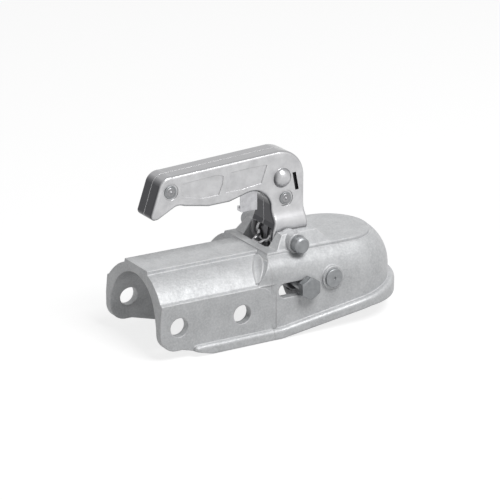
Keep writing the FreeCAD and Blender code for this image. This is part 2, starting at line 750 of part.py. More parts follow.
def pins():
    """Pivot pin and the two headed jaw pins."""
    half = S.pivot_pin_length / 2
    round_bar("handle_pivot_pin", pivot_x, pivot_z, S.pivot_pin / 2, -half, half,
              chamfer=S.pin_chamfer)
    for side, name in ((1, "jaw_pin_left"), (-1, "jaw_pin_right")):
        x, z = -S.jaw_back, S.jaw_height
        body = new_body(name)
        disc(body, name + "_shank", x, z, S.jaw_pin_size / 2, side * S.jaw_pin_reach,
             side * (jaw_seat + 0.01))
        face = jaw_seat + S.jaw_head_height
        disc(body, name + "_head", x, z, S.jaw_pin_head / 2, side * jaw_seat, side * face)
        dimple = sketch(body, name + "_centre", "XZ_Plane", -side * face)
        circle(dimple, x, z, 1.1)
        pocket(body, name + "_dimple", dimple, 0.8, reverse=side > 0)
        rim_y = face.number - 0.01
        round_off(body, name + "_rounding", "Fillet", lambda point: abs(point.y) > rim_y
                  and math.hypot(point.x - x.number, point.z - z.number) > 2, 0.9)


def hexagon(made, x, z, flats):
    """A hexagon with two upright sides, as the bolt head stands in the photograph."""
    half = flats / 2
    corner = flats / math.sqrt(3)
    outline(made, [
        (x + half, z - corner / 2),
        (x + half, z + corner / 2),
        (x, z + corner),
        (x - half, z + corner / 2),
        (x - half, z - corner / 2),
        (x, z - corner),
    ])


def hex_block(body, name, x, z, flats, from_y, height, side):
    """A hexagonal prism whose outer corners are turned down to a cone."""
    made = sketch(body, name + "_hexagon", "XZ_Plane", -side * as_size(from_y))
    hexagon(made, x, z, flats)
    pad(body, name, made, height, reverse=side > 0)
    cone = sketch(body, name + "_cone", "XY_Plane", z)
    outer = flats / math.sqrt(3) + 1
    top = as_size(from_y) + height
    inner = flats / 2 * 0.92
    drop = (outer - inner) * 0.5
    outline(cone, [
        (x + inner, side * (top + 0.01)),
        (x + outer, side * (top + 0.01)),
        (x + outer, side * (top - drop)),
    ])
    axis = sketch(body, name + "_axis", "XY_Plane", z)
    index = axis.addGeometry(Part.LineSegment(V(x.number, 0, 0), V(x.number, 10, 0)))
    pin_point(axis, index, 1, x, 0)
    pin_point(axis, index, 2, x, 10)
    made = body.newObject("PartDesign::Groove", name + "_corners")
    made.Profile = cone
    made.ReferenceAxis = (axis, ["Edge1"])
    made.Angle = 360
    doc.recompute()


def clamp():
    """Clamp bolt with nut, washer and the two rollers that back up the jaw."""
    x, z = clamp_x, S.slot_axis
    shank = S.clamp_bolt_size / 2
    body = new_body("clamp_bolt")
    end = flank_at_clamp + S.washer_height + S.clamp_nut_height + 2
    disc(body, "clamp_shank", x, z, shank, -flank_at_clamp - 0.5, end)
    hex_block(body, "clamp_head_block", x, z, S.clamp_head, flank_at_clamp, S.clamp_head_height, -1)
    body = new_body("clamp_washer")
    disc(body, "washer_disc", x, z, S.washer_size / 2, flank_at_clamp, flank_at_clamp + S.washer_height)
    drill(body, "washer_bore", x, z, shank + S.fit_gap)
    body = new_body("clamp_nut")
    seat = flank_at_clamp + S.washer_height
    hex_block(body, "clamp_nut_block", x, z, S.clamp_head, seat, S.clamp_nut_height, 1)
    drill(body, "nut_bore", x, z, shank + S.fit_gap)
    start = S.lever_thickness / 2 + 0.5
    for side, name in ((1, "clamp_roller_left"), (-1, "clamp_roller_right")):
        body = new_body(name)
        disc(body, name + "_disc", x, z, S.roller_size / 2, side * start, side * (start + S.roller_length))
        drill(body, name + "_bore", x, z, shank + S.turn_gap)
        round_off(body, name + "_chamfer", "Chamfer",
                  lambda point: math.hypot(point.x - x.number, point.z - z.number)
                  > S.roller_size.number / 2 - 0.01, 0.5)


def drill(body, name, x, z, radius):
    """A round hole along Y through the whole body."""
    made = sketch(body, name + "_circle", "XZ_Plane")
    circle(made, x, z, radius)
    pocket(body, name, made, S.rim_radius * 4, both=True)


def lever():
    """Cam lever: riveted in the handle, turns on the pin, its fork straddles the bolt."""
    body = new_body("cam_lever")
    eye = S.lever_eye
    away_x = clamp_x - pivot_x
    away_z = S.slot_axis - pivot_z
    arm = root(away_x * away_x + away_z * away_z)
    along_x = away_x / arm
    along_z = away_z / arm
    half = S.clamp_bolt_size / 2 + S.fork_gap
    wide = half + S.lever_prong

    def spot(reach, aside):
        return (pivot_x + along_x * reach - along_z * aside, pivot_z + along_z * reach + along_x * aside)

    throat = arm - half - 0.6
    rivet_x = pivot_x + S.neck_rivet_front
    rivet_z = pivot_z + S.neck_rivet_rise
    top = 6
    plate = sketch(body, "lever_outline", "XZ_Plane")
    outline(plate, [
        spot(S.lever_reach, wide),
        (pivot_x + eye, pivot_z),
        (rivet_x + top - 0.5, rivet_z, top),
        (rivet_x, rivet_z + top, top),
        (rivet_x - top, rivet_z),
        (pivot_x - eye + 1.5, pivot_z),
        spot(S.lever_reach, -wide),
        spot(S.lever_reach, -half),
        spot(throat + half, -half) + (-half,),
        spot(throat, 0) + (-half,),
        spot(throat + half, half),
        spot(S.lever_reach, half),
    ])
    pad(body, "lever_plate", plate, S.lever_thickness, both=True)
    drill(body, "lever_pivot_bore", pivot_x, pivot_z, S.pivot_pin / 2 + S.turn_gap)
    drill(body, "lever_rivet_bore", rivet_x, rivet_z, S.rivet_shank / 2 + S.fit_gap)


def jaw():
    """Jaw under the rear of the ball: a piece of a spherical shell with ears and a heel."""
    body = new_body("ball_jaw")
    inner = ball_radius + S.jaw_gap
    outer = inner + S.jaw_wall
    section = sketch(body, "jaw_section", "XZ_Plane")

    def reach(radius, height):
        return root(radius * radius - height * height)

    outline(section, [
        (-reach(inner, S.jaw_top), S.jaw_top, inner),
        (-reach(inner, S.jaw_lip), -S.jaw_lip),
        (-reach(outer, S.jaw_lip), -S.jaw_lip, -outer),
        (-reach(outer, S.jaw_top), S.jaw_top),
    ])
    shell = body.newObject("PartDesign::Revolution", "jaw_shell")
    shell.Profile = section
    shell.ReferenceAxis = (section, ["V_Axis"])
    shell.Midplane = True
    bind(shell, "Angle", S.jaw_wrap)
    doc.recompute()
    ear = S.jaw_ear
    high = S.jaw_ear_span / 2
    for side, word in ((1, "left"), (-1, "right")):
        plate = sketch(body, "ear_shape_" + word, "XZ_Plane", -side * high)
        outline(plate, [
            (-S.jaw_back - ear, S.jaw_height),
            (-S.jaw_back - ear + 1.5, -S.jaw_ear_drop + 6),
            (-S.jaw_back - 2, -S.jaw_ear_drop),
            (-S.jaw_back + 7, -S.jaw_ear_drop + 1),
            (-S.jaw_back + ear, S.jaw_height, ear),
            (-S.jaw_back, S.jaw_height + ear, ear),
        ])
        pad(body, "ear_" + word, plate, S.jaw_ear_thickness, reverse=side < 0)
    heel = sketch(body, "heel_shape", "XZ_Plane")
    back = clamp_x + S.roller_size / 2 + S.side_gap
    outline(heel, [
        (back, -S.heel_drop),
        (-inner - 1, -S.heel_drop),
        (-inner - 0.5, S.jaw_top - 0.5),
        (-inner + 0.5, S.heel_top),
        (back, S.heel_top),
    ])
    pad(body, "heel", heel, S.heel_width, both=True)
    notch = sketch(body, "heel_notch", "XZ_Plane")
    box(notch, back - 1, -S.heel_drop - 2, -outer + 1.5, S.heel_top + 1)
    pocket(body, "heel_notch_cut", notch, S.heel_relief * 2, both=True)
    space = body.newObject("PartDesign::SubtractiveSphere", "ball_space")
    bind(space, "Radius", inner)
    doc.recompute()
    drill(body, "jaw_pin_bore", -S.jaw_back, S.jaw_height, S.jaw_pin_size / 2 + S.turn_gap)


def handle_points():
    """Side outline of the handle from the nose along the underside and back over the top."""
    def at(ahead, above):
        return (pivot_x + ahead, pivot_z + above)

    nose = -S.grip_reach
    arch_x = -S.neck_back - 0.1
    arch_z = S.arch_rise - 10
    return [
        at(nose + 2.7, S.guard_drop),
        at(nose + 5.1, S.guard_drop + 0.2),
        at(nose + 16.6, S.grip_bottom + 3.2) + (as_size(-8),),
        at(nose + 23.6, S.grip_bottom + 3),
        at(nose + 41.1, S.grip_bottom),
        at(nose + 56.1, S.grip_bottom + 0.4),
        at(arch_x - 18, S.arch_rise) + (-S.arch_curve,),
        at(arch_x, arch_z),
        at(-S.neck_back + 0.3, S.skirt_start - 10),
        at(-S.neck_back - 1.3, 4.5),
        at(-S.neck_back - 1.8, -1.3),
        at(-S.foot_radius * 0.517, -S.foot_radius * 0.852) + (S.foot_radius,),
        at(S.foot_radius * 0.536, -S.foot_radius * 0.844),
        at(S.toe_reach - 2.7, 0.5),
        at(S.toe_reach, 5),
        at(S.neck_front, S.skirt_start + 1),
        at(S.neck_front, S.handle_rise - S.crown_curve - 1.5) + (S.crown_curve,),
        at(S.neck_front - S.crown_curve + 0.6, S.handle_rise),
        at(nose + 15.6, S.nose_rise) + (9,),
        at(nose + 6.2, S.nose_rise - 5.1),
        at(nose, S.guard_drop + 3.5) + (3.2,),
    ]


def shell_half():
    """The right half of the handle, pressed from sheet and open at the seam."""
    body = new_body("handle_shell_right")
    side = sketch(body, "handle_outline", "XZ_Plane", S.seam_gap / 2)
    outline(side, handle_points())
    half = S.skirt_width / 2
    grip = S.grip_width / 2
    pad(body, "handle_block", side, half - S.seam_gap / 2)
    flare = sketch(body, "flare_shape", "YZ_Plane", pivot_x - S.grip_reach - 5)
    over = half - grip
    rise = S.skirt_start - S.skirt_end
    bend = (over * over + rise * rise) / (over * 4)
    outline(flare, [
        (-grip, pivot_z + S.handle_rise + 5),
        (-half - 1, pivot_z + S.handle_rise + 5),
        (-half - 1, pivot_z + S.skirt_end),
        (-half, pivot_z + S.skirt_end, -bend),
        (-(half + grip) / 2, pivot_z + S.skirt_end + rise / 2, bend),
        (-grip, pivot_z + S.skirt_start),
    ])
    pocket(body, "flare_cut", flare, S.grip_reach + S.neck_front + 20, reverse=True)
    creases = [(pivot_z + S.skirt_end + rise * share).number for share in (0, 0.5, 1)]
    rim_y = -grip.number + 0.01
    chosen = []
    for number, edge in enumerate(body.Shape.Edges, start=1):
        points = edge.discretize(5)
        level = edge.BoundBox.ZLength < 0.01
        crease = level and min(abs(points[0].z - height) for height in creases) < 0.05
        if all(point.y < rim_y for point in points) and not crease:
            chosen.append("Edge%d" % number)
    rounding = body.newObject("PartDesign::Fillet", "shell_rounding")
    rounding.Base = (body.getObject("flare_cut"), chosen)
    bind(rounding, "Radius", S.shell_round)
    doc.recompute()
    inner = body.newObject("PartDesign::SubShapeBinder", "inside_outline")
    inner.Support = [(side, "")]
    inner.OffsetJoinType = 2
    inner.MakeFace = True
    bind(inner, "Offset", -S.shell_wall)
    doc.recompute()
    pocket(body, "grip_hollow", inner, grip_inside - S.seam_gap / 2)
    wide = sketch(body, "skirt_hollow_shape", "YZ_Plane", pivot_x - S.neck_back + S.shell_wall + 0.5)
    outline(wide, [
        (-grip_inside + 1, pivot_z + 2),
        (-skirt_inside, pivot_z + 2),
        (-skirt_inside, pivot_z + S.skirt_end, -(bend - S.shell_wall)),
        (-(skirt_inside + grip_inside) / 2, pivot_z + S.skirt_end + rise / 2, bend + S.shell_wall),
        (-grip_inside, pivot_z + S.skirt_start),
        (-grip_inside + 1, pivot_z + S.skirt_start),
    ])
    pocket(body, "skirt_hollow", wide, S.neck_back + S.neck_front - S.shell_wall * 2 - 0.5, reverse=True)
    return body


def sphere_cap(body, name, x, z, face, reach, rise, side):
    """A round dome standing on a face that looks along Y."""
    radius = (reach * reach + rise * rise) / (rise * 2)
    made = sketch(body, name + "_profile", "XY_Plane", z)
    outline(made, [
        (x, side * (face - 0.5)),
        (x + reach, side * (face - 0.5)),
        (x + reach, side * face, radius * side),
        (x, side * (face + rise)),
    ])
    axis = sketch(body, name + "_axis", "XY_Plane", z)
    index = axis.addGeometry(Part.LineSegment(V(x.number, 0, 0), V(x.number, 10, 0)))
    pin_point(axis, index, 1, x, 0)
    pin_point(axis, index, 2, x, 10)
    turned = body.newObject("PartDesign::Revolution", name)
    turned.Profile = made
    turned.ReferenceAxis = (axis, ["Edge1"])
    turned.Angle = 360
    doc.recompute()


def pressings(body):
    """Shallow panels on the grip's side and a dish round each rivet."""
    def at(ahead, above):
        return (pivot_x + ahead, pivot_z + above)

    face = S.grip_width / 2
    panels = sketch(body, "panel_shapes", "XZ_Plane", face)
    outline(panels, [at(-73.4, 38.1), at(-59, 34.6), at(-46.6, 34.9), at(-43.6, 41.9), at(-43.2, 46.6),
                     at(-47, 48), at(-58.9, 47.2), at(-72.5, 46.2)])
    outline(panels, [at(-41.4, 35.5), at(-29.5, 35.6), at(-15.6, 37.4), at(-11.4, 49), at(-24, 48.8),
                     at(-37.8, 48)])
    pocket(body, "panel_cut", panels, S.panel_depth)
    dishes = sketch(body, "dish_shapes", "XZ_Plane", face)
    circle(dishes, pivot_x + S.neck_rivet_front, pivot_z + S.neck_rivet_rise, S.rivet_dish / 2)
    circle(dishes, pivot_x - S.nose_rivet_back, pivot_z + S.nose_rivet_rise, S.rivet_dish / 2)
    pocket(body, "dish_cut", dishes, S.rivet_dish_depth)


def shell_features(body):
    """Openings, dome, window and holes of the right shell."""
    pressings(body)
    foot = sketch(body, "foot_opening", "YZ_Plane", pivot_x - S.toe_reach - 5)
    box(foot, -skirt_inside, pivot_z - S.foot_radius - 5, 1, pivot_z + 6.7)
    pocket(body, "foot_opening_cut", foot, S.toe_reach * 2 + 10, reverse=True)
    slot = sketch(body, "trigger_slot", "XY_Plane", pivot_z + S.trigger_drop)
    box(slot, pivot_x - S.trigger_rear - 2, -S.catch_width / 2 - 1.4, pivot_x - S.trigger_front + 3.6, 1)
    pocket(body, "trigger_slot_cut", slot, S.arch_rise - S.trigger_drop + 4.5, reverse=True)
    sphere_cap(body, "catch_dome", pivot_x - 0.3, catch_z, S.grip_width / 2, S.bulge_size / 2,
               S.bulge_height, -1)
    recess = sketch(body, "catch_recess", "XZ_Plane")
    circle(recess, pivot_x - 0.3, catch_z, S.catch_pin_size / 2 + S.fit_gap)
    pocket(body, "catch_recess_cut", recess, S.grip_width / 2 + 0.3, reverse=True)
    window = sketch(body, "window_shape", "XZ_Plane")
    x = pivot_x + S.window_front
    z = pivot_z + S.window_rise
    half = S.window_length / 2
    lean = S.window_lean * half
    wide = S.window_width / 2
    outline(window, [
        (x + lean - wide, z - half),
        (x + lean + wide, z - half),
        (x - lean + wide, z + half),
        (x - lean - wide, z + half),
    ])
    pocket(body, "window_cut", window, S.grip_width, reverse=True)
    holes = sketch(body, "shell_holes", "XZ_Plane")
    circle(holes, pivot_x, pivot_z, S.pivot_pin / 2 + S.turn_gap)
    circle(holes, pivot_x + S.neck_rivet_front, pivot_z + S.neck_rivet_rise, S.rivet_shank / 2 + S.fit_gap)
    circle(holes, pivot_x - S.nose_rivet_back, pivot_z + S.nose_rivet_rise, S.rivet_shank / 2 + S.fit_gap)
    pocket(body, "shell_hole_cut", holes, S.skirt_width, reverse=True)


def left_shell(right):
    """The left shell is the right one seen in a mirror."""
    made = doc.addObject("Part::Mirroring", "handle_shell_left")
    made.Label = "handle_shell_left"
    made.Source = right
    made.Normal = V(0, 1, 0)
    made.Base = V(0, 0, 0)
    doc.recompute()
    return made


def rivet(name, x, z):
    """A rivet across the handle with a low head on each side."""
    body = new_body(name)
    face = S.grip_width / 2 - S.rivet_dish_depth
    disc(body, name + "_shank", x, z, S.rivet_shank / 2, -face - 0.2, face + 0.2)
    for side, word in ((1, "left"), (-1, "right")):
        disc(body, "%s_head_%s" % (name, word), x, z, S.rivet_head / 2, side * face,
             side * (face + S.rivet_head_height))
    top = (face + S.rivet_head_height).number - 0.01
    round_off(body, name + "_rounding", "Fillet", lambda point: abs(point.y) > top, 0.6)


def handle_inside():
    """Rivets, bushes, catch pin and the dark plate behind the window."""
    rivet("nose_rivet", pivot_x - S.nose_rivet_back, pivot_z + S.nose_rivet_rise)
    rivet("neck_rivet", pivot_x + S.neck_rivet_front, pivot_z + S.neck_rivet_rise)
    for side, name in ((1, "pivot_bush_left"), (-1, "pivot_bush_right")):
        body = new_body(name)
        disc(body, name + "_disc", pivot_x, pivot_z, S.bush_size / 2, side * S.lever_thickness / 2,
             side * skirt_inside)
        drill(body, name + "_bore", pivot_x, pivot_z, S.pivot_pin / 2 + S.turn_gap)
    round_bar("catch_pin", pivot_x - 0.3, catch_z, S.catch_pin_size / 2, -S.grip_width / 2, S.grip_width / 2,
              chamfer=0.4)
    body = new_body("indicator_plate")
    low_x = pivot_x + S.window_front - 3.3
    high_x = pivot_x + S.window_front + 2.1
    low_z = pivot_z + S.window_rise - 7
    high_z = pivot_z + S.window_rise + 7
    made = sketch(body, "indicator_block", "XZ_Plane")
    box(made, low_x, low_z, high_x, high_z)
    pad(body, "indicator_bar", made, grip_inside * 2, both=True)
    gap = sketch(body, "indicator_gap", "XZ_Plane")
    box(gap, low_x - 1, low_z - 1, high_x + 1, high_z - 1.2)
    pocket(body, "indicator_gap_cut", gap, (grip_inside - 1.2) * 2, both=True)


def catch():
    """Folded sheet catch: trigger under the grip, arms to its pin, toe in the pocket."""
    body = new_body("safety_catch")

    def at(ahead, above):
        return (pivot_x + ahead, pivot_z + above)

    sheet = S.catch_sheet
    drop = S.trigger_drop
    rear = -S.trigger_rear
    front = -S.trigger_front
    leg = pocket_front - pivot_x - S.leg_gap
    toe = leg + S.toe_length
    plates = sketch(body, "catch_outline", "XZ_Plane")
    outline(plates, [
        at(rear, drop),
        at(front, drop),
        at(front, 31),
        at(-9.5, 35.5),
        at(-5.8, 32.5),
        at(4.5, 31.5),
        at(7.4, 27.5),
        at(7.4, 24),
        at(leg - 1.8, 4.5),
        at(leg - 1.8, -1),
        at(toe, -1),
        at(toe, 1.5),
        at(leg, 1.5),
        at(leg, 4.5),
        at(10.7, 24),
        at(9, 33),
        at(6.3, 40),
        at(3.6, S.catch_rise + 4) + (6,),
        at(-4.6, S.catch_rise + 3.8),
        at(-16, 39),
        at(rear + 5, 36),
        at(rear, 30),
    ])
    pad(body, "catch_block", plates, S.catch_width, both=True)
    inside = sketch(body, "catch_inside", "XZ_Plane")
    outline(inside, [
        at(rear - 1, drop + sheet),
        at(-10, drop + sheet),
        at(-10, -3),
        at(leg + 0.2, -3),
        at(leg + 0.2, 55),
        at(rear - 1, 55),
    ])
    pocket(body, "catch_inside_cut", inside, S.catch_width - sheet * 2, both=True)
    side = S.catch_width / 2
    trigger = sketch(body, "trigger_side", "YZ_Plane", pivot_x + rear - 1)
    box(trigger, S.lip_reach - side, pivot_z + drop - 1, side + 1, pivot_z + 50)
    pocket(body, "trigger_side_cut", trigger, as_size(-10) - rear + 1, reverse=True)
    turned = sketch(body, "trigger_lip_shape", "YZ_Plane", pivot_x + rear)
    box(turned, S.lip_reach - side - sheet, pivot_z + drop, S.lip_reach - side, pivot_z + drop + S.lip_rise)
    pad(body, "trigger_lip", turned, front - rear)
    drill(body, "catch_pin_bore", pivot_x - 0.3, catch_z, S.catch_pin_size / 2 + S.turn_gap)


def wire_solid(points, thickness):
    """A round wire along a smooth curve through the points."""
    curve = Part.BSplineCurve()
    curve.interpolate(points)
    path = Part.Wire([curve.toShape()])
    start = curve.value(curve.FirstParameter)
    along = curve.tangent(curve.FirstParameter)[0]
    ring = Part.Wire([Part.Circle(start, along, thickness / 2).toShape()])
    sweep = Part.BRepOffsetAPI.MakePipeShell(path)
    sweep.setFrenetMode(True)
    sweep.add(ring)
    sweep.build()
    sweep.makeSolid()
    return sweep.shape()


def wire_part(name, shape):
    made = doc.addObject("Part::Feature", name)
    made.Label = name
    made.Shape = shape
    made.Placement = FreeCAD.Placement()
    return made


def springs():
    """Return spring round the bushes, and the small spring of the catch."""
    px, pz = pivot_x.number, pivot_z.number
    reach = wire_reach.number
    wire = S.wire_size.number
    spread = S.leg_spread.number / 2
    turns = S.coil_turns.number
    first = S.catch_width.number / 2 + 0.3 + wire / 2
    pitch = wire + 0.15
    bar_x = -S.pocket_rear.number - px + wire / 2 + 0.4
    bar_z = -4.6
    half = []
    end_y = first + turns * pitch
    half.append(V(px + reach, end_y - 0.3, pz + 7.5))
    half.append(V(px + reach, end_y - 0.1, pz + 4.0))
    steps = int(turns * 12)
    for step in range(steps + 1):
        angle = -math.pi * 2 * turns * step / steps
        half.append(V(px + reach * math.cos(angle), end_y - pitch * turns * step / steps,
                      pz + reach * math.sin(angle)))
    half.append(V(px - reach - 0.6, first - 0.4, pz - 1.9 + 0.2))
    half.append(V(px - reach - 3.0, spread + 0.4, pz - 2.9))
    half.append(V(px + bar_x + 1.9, spread, pz + bar_z + 0.8))
    half.append(V(px + bar_x + 0.3, spread - 0.9, pz + bar_z + 0.1))
    half.append(V(px + bar_x, spread - 2.2, pz + bar_z))
    other = [V(p.x, -p.y, p.z) for p in reversed(half)]
    wire_part("return_spring", wire_solid(half + other, wire))
    thin = S.catch_wire.number
    around = S.catch_pin_size.number / 2 + 0.2 + thin / 2
    kx, kz = px - 0.3, catch_z.number
    points = [V(kx - 9, -2.0, kz + around), V(kx - 4.5, -2.0, kz + around)]
    for step in range(34):
        angle = math.pi / 2 - math.pi * 2 * 2.75 * step / 33
        points.append(V(kx + around * math.cos(angle), -2.0 + 4.0 * step / 33, kz + around * math.sin(angle)))
    points.append(V(kx - around, 2.0, kz - 0.0 + 3.0))
    points.append(V(kx - around, 2.0, kz + 5.5))
    wire_part("catch_spring", wire_solid(points, thin))


def main():
    os.makedirs("parts", exist_ok=True)
    housing()
    pins()
    clamp()
    lever()
    jaw()
    right = shell_half()
    shell_features(right)
    left_shell(right)
    handle_inside()
    catch()
    springs()
    finish()


SUBPART_KINDS = ("PartDesign::Body", "Part::Mirroring", "Part::Feature", "Part::Common", "Part::Cut")


def finish():
    """Check every object, then write one file for each sub-part."""
    doc.recompute()
    for thing in doc.Objects:
        if "Invalid" in thing.State or "Error" in thing.State:
            raise RuntimeError("%s failed: %s" % (thing.Name, thing.State))
    for thing in doc.Objects:
        if thing.TypeId in SUBPART_KINDS and thing.Label != "casting":
            shape = thing.Shape
            if shape.isNull() or not shape.isValid():
                raise RuntimeError("%s has no sound shape" % thing.Label)
            shape.exportStep("parts/%s.step" % thing.Label)
            print("%-22s solids %d volume %.1f box %s" % (
                thing.Label, len(shape.Solids), shape.Volume,
                " ".join("%.1f" % n for n in (shape.BoundBox.XMin, shape.BoundBox.XMax, shape.BoundBox.YMin,
                                             shape.BoundBox.YMax, shape.BoundBox.ZMin, shape.BoundBox.ZMax))))


main()
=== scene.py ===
import math

import bmesh
import bpy
from bpy.props import FloatProperty, FloatVectorProperty, PointerProperty
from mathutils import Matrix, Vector


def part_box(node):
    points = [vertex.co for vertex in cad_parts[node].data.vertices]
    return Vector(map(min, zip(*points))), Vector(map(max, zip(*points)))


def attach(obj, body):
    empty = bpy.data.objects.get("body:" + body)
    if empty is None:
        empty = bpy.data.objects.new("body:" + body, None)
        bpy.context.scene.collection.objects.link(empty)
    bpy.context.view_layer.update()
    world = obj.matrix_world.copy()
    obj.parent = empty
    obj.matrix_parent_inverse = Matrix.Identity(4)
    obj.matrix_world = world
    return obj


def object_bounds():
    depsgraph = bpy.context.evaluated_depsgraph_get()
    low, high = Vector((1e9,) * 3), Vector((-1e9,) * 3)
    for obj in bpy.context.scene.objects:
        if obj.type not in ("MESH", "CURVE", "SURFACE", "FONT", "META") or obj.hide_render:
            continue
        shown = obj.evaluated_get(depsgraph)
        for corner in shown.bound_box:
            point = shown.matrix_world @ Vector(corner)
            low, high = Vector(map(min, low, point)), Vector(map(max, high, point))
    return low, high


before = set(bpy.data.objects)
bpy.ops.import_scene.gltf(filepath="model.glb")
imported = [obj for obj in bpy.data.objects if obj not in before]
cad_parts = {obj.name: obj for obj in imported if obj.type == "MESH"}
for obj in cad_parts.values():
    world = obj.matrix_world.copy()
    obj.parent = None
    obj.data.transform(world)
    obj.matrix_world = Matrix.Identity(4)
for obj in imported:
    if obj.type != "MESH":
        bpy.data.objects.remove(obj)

bl_info = {
    "name": "Coupling head dressing",
    "version": (1, 0, 0),
    "blender": (4, 5, 0),
    "location": "3D View > Sidebar > Coupling",
    "description": "Finishes, small pressed details and studio for a cast trailer coupling head",
    "category": "Object",
}

CAD_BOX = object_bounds()

CASTINGS = ("coupling_housing", "drawbar_tail")
HANDLE_SHEETS = ("handle_shell_right", "handle_shell_left")
PINS = ("handle_pivot_pin", "jaw_pin_left", "jaw_pin_right", "nose_rivet", "neck_rivet", "catch_pin")
BOLT_PIECES = ("clamp_bolt", "clamp_nut", "clamp_washer")
INNER_STEEL = ("cam_lever", "clamp_roller_left", "clamp_roller_right", "pivot_bush_left", "pivot_bush_right")
SPRINGS = ("return_spring", "catch_spring")

# Slanted step behind the handle, along X and up, and the round shoulder of the tail, across and up.
STEP_FOOT = Vector((-0.0729, 0.0154))
STEP_KNEE = Vector((-0.0624, 0.0300))
SHOULDER_MIDDLE = Vector((0.0, 0.000166, -0.01035))
SHOULDER_RADIUS = 0.0428
WEB_START = math.radians(39.5)
WEB_END = math.radians(68.5)
# How far hidden faces reach into the piece that carries them.
SINK = 0.0002

# Profile of a rolled rivet face, radius and height as shares of the ring's radius.
RIVET_PROFILE = ((0.0, 0.34), (0.12, 0.30), (0.30, 0.02), (0.48, 0.0), (0.66, 0.09), (0.80, 0.12),
                 (0.93, 0.07), (1.0, -0.04))


class CastingLook(bpy.types.PropertyGroup):
    """Hot-dip zinc on the castings."""
    zinc: FloatVectorProperty(name="Zinc", description="Colour of the zinc coat", subtype="COLOR", size=3,
                              min=0.0, max=1.0, default=(0.57, 0.58, 0.59))
    shade: FloatVectorProperty(name="Shade", description="Colour of the duller patches", subtype="COLOR",
                               size=3, min=0.0, max=1.0, default=(0.49, 0.50, 0.51))
    worn: FloatVectorProperty(name="Worn edge", description="Colour along rubbed edges", subtype="COLOR",
                              size=3, min=0.0, max=1.0, default=(0.80, 0.80, 0.81))
    grain: FloatProperty(name="Grain", description="Size of the cast grain", subtype="DISTANCE",
                         unit="LENGTH", default=0.0006)
    rounding: FloatProperty(name="Rounding", description="Soft radius of the cast edges",
                            subtype="DISTANCE", unit="LENGTH", default=0.0011)
    patch: FloatProperty(name="Patches", description="Size of the duller patches", subtype="DISTANCE",
                         unit="LENGTH", default=0.011)
    web_middle: FloatProperty(name="Web", description="Reach of the shoulder webs at their middle",
                              subtype="DISTANCE", unit="LENGTH", default=0.0052)
    web_end: FloatProperty(name="Web end", description="Reach of the shoulder webs at their ends",
                           subtype="DISTANCE", unit="LENGTH", default=0.0020)


class SheetLook(bpy.types.PropertyGroup):
    """Bright zinc plating on the handle and the catch."""
    plating: FloatVectorProperty(name="Plating", description="Colour of the bright plating",
                                 subtype="COLOR", size=3, min=0.0, max=1.0, default=(0.66, 0.66, 0.67))
    haze: FloatVectorProperty(name="Haze", description="Colour where the plating is hazy", subtype="COLOR",
                              size=3, min=0.0, max=1.0, default=(0.54, 0.54, 0.55))
    # Painted dark reflection: the walls drawn round the sheet's edge get this darker colour in place of the
    # plating.
    painted_wall_reflection: FloatVectorProperty(name="Drawn wall",
                              description="Colour of the smooth wall drawn round the edge", subtype="COLOR",
                              size=3, min=0.0, max=1.0, default=(0.38, 0.38, 0.39))
    # Painted dark reflection, near black, on the walls that face the grip's end.
    end: FloatVectorProperty(name="End wall", description="Colour of the walls that face the grip's end",
                             subtype="COLOR", size=3, min=0.0, max=1.0, default=(0.05, 0.05, 0.055))
    catch: FloatVectorProperty(name="Catch", description="Colour of the safety catch", subtype="COLOR",
                               size=3, min=0.0, max=1.0, default=(0.62, 0.62, 0.64))
    patch: FloatProperty(name="Patches", description="Size of the hazy patches", subtype="DISTANCE",
                         unit="LENGTH", default=0.009)
    rounding: FloatProperty(name="Rounding", description="Soft radius of the sheet's edges",
                            subtype="DISTANCE", unit="LENGTH", default=0.0004)


class SteelLook(bpy.types.PropertyGroup):
    """Bolts, pins, springs and the plain steel inside."""
    bolt: FloatVectorProperty(name="Bolt", description="Colour of the bolt and nut", subtype="COLOR",
                              size=3, min=0.0, max=1.0, default=(0.30, 0.31, 0.32))
    pin: FloatVectorProperty(name="Pin", description="Colour of the pins and rivets", subtype="COLOR",
                             size=3, min=0.0, max=1.0, default=(0.34, 0.35, 0.36))
    inner: FloatVectorProperty(name="Inner steel", description="Colour of the mechanism inside",
                               subtype="COLOR", size=3, min=0.0, max=1.0, default=(0.20, 0.20, 0.21))
    jaw: FloatVectorProperty(name="Jaw iron", description="Colour of the dull iron jaw", subtype="COLOR",
                             size=3, min=0.0, max=1.0, default=(0.26, 0.26, 0.27))
    wire: FloatVectorProperty(name="Spring wire", description="Colour of the springs", subtype="COLOR",
                              size=3, min=0.0, max=1.0, default=(0.45, 0.45, 0.46))
    rolled: FloatVectorProperty(name="Rolled steel", description="Colour of the rivets' rolled faces",
                                subtype="COLOR", size=3, min=0.0, max=1.0, default=(0.36, 0.36, 0.37))
    ring: FloatProperty(name="Rolled ring", description="Radius of the rolled face on a rivet",
                        subtype="DISTANCE", unit="LENGTH", default=0.0030)
    indicator: FloatVectorProperty(name="Indicator", description="Colour of the dark plate in the window",
                                   subtype="COLOR", size=3, min=0.0, max=1.0, default=(0.012, 0.012, 0.014))


